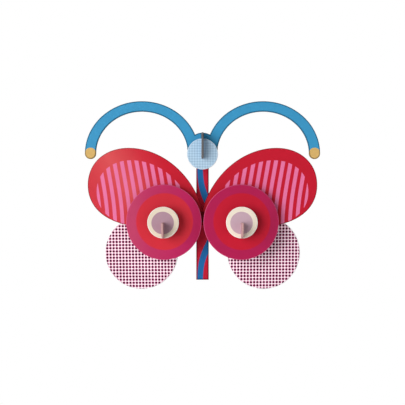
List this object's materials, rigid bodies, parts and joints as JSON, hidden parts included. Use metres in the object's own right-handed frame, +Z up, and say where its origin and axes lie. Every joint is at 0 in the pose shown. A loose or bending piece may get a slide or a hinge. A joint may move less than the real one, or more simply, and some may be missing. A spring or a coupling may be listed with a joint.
{
  "type": "cardboard butterfly",
  "caption": "Wall butterfly of flat printed cards that slot together: arched antennae, a long body, striped upper wings, dotted lower wings and layered round eyes.",
  "frame": {"origin": "centre of the hanging hole, in the middle of the upright card behind the body", "axes": "+Z up, +X to the viewer's right and along the hanging hole's axis, -Y towards the viewer, so the wall is on the +Y side"},
  "size_m": [0.2236, 0.0565, 0.1799],
  "materials": {
    "antenna_card": "matt blue print with gold tips, raw greyboard edges",
    "body_card": "matt red print with a waving blue band, raw greyboard edges",
    "spine_card": "bare greyboard",
    "head_card": "matt light blue print with a fine check",
    "upper_wing_card": "matt red print with wavy pink stripes, raw greyboard edges",
    "lower_wing_card": "matt white print with a grid of crimson dots",
    "large_disc_card": "matt print, a red circle shading into a magenta ring",
    "eye_card": "matt cream print with a mauve circle",
    "fin_card": "bare greyboard"
  },
  "bodies": {
    "root": {"antennae": "antenna_card", "body_strip": "body_card", "spine": "spine_card", "head_disc": "head_card", "upper_wings": "upper_wing_card", "lower_wing_left": "lower_wing_card", "lower_wing_right": "lower_wing_card", "large_disc_left": "large_disc_card", "large_disc_right": "large_disc_card", "eye_disc_left": "eye_card", "eye_disc_right": "eye_card", "eye_fin_left": "fin_card", "eye_fin_right": "fin_card"}
  },
  "joints": []
}
